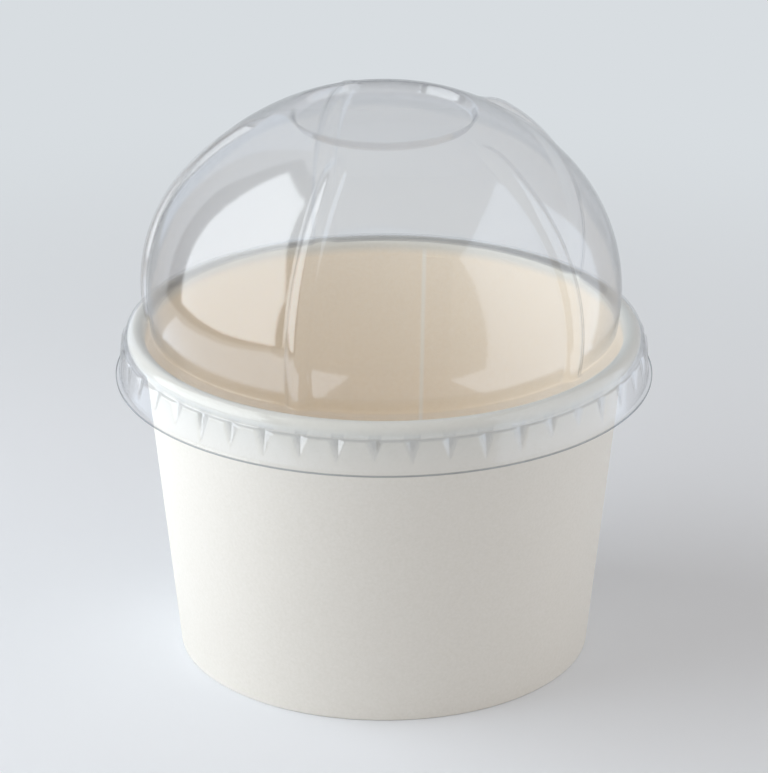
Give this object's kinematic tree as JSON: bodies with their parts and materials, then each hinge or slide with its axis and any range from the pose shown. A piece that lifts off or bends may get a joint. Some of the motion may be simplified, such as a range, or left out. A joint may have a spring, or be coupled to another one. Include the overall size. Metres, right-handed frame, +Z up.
{
  "type": "paper dessert cup with dome lid",
  "caption": "Tapered white paper cup with a rolled rim and a recessed base, closed by a clear ribbed dome lid with a dished top and a skirt of snap lugs.",
  "frame": {"origin": "centre of the base, on the surface that the cup stands on", "axes": "+Z up along the cup's axis, -Y towards the front of the picture, +X to its right"},
  "size_m": [0.0995, 0.0994, 0.1044],
  "materials": {
    "coated_board": "matte",
    "clear_sheet": "gloss"
  },
  "bodies": {
    "cup": {"cup_sidewall": "coated_board", "cup_bottom": "coated_board"},
    "lid": {"dome_lid": "clear_sheet"}
  },
  "joints": [
    {"name": "lid_lift", "type": "slide", "parent": "cup", "child": "lid", "axis": [0, 0, 1], "range_m": [0, 0.04]}
  ]
}
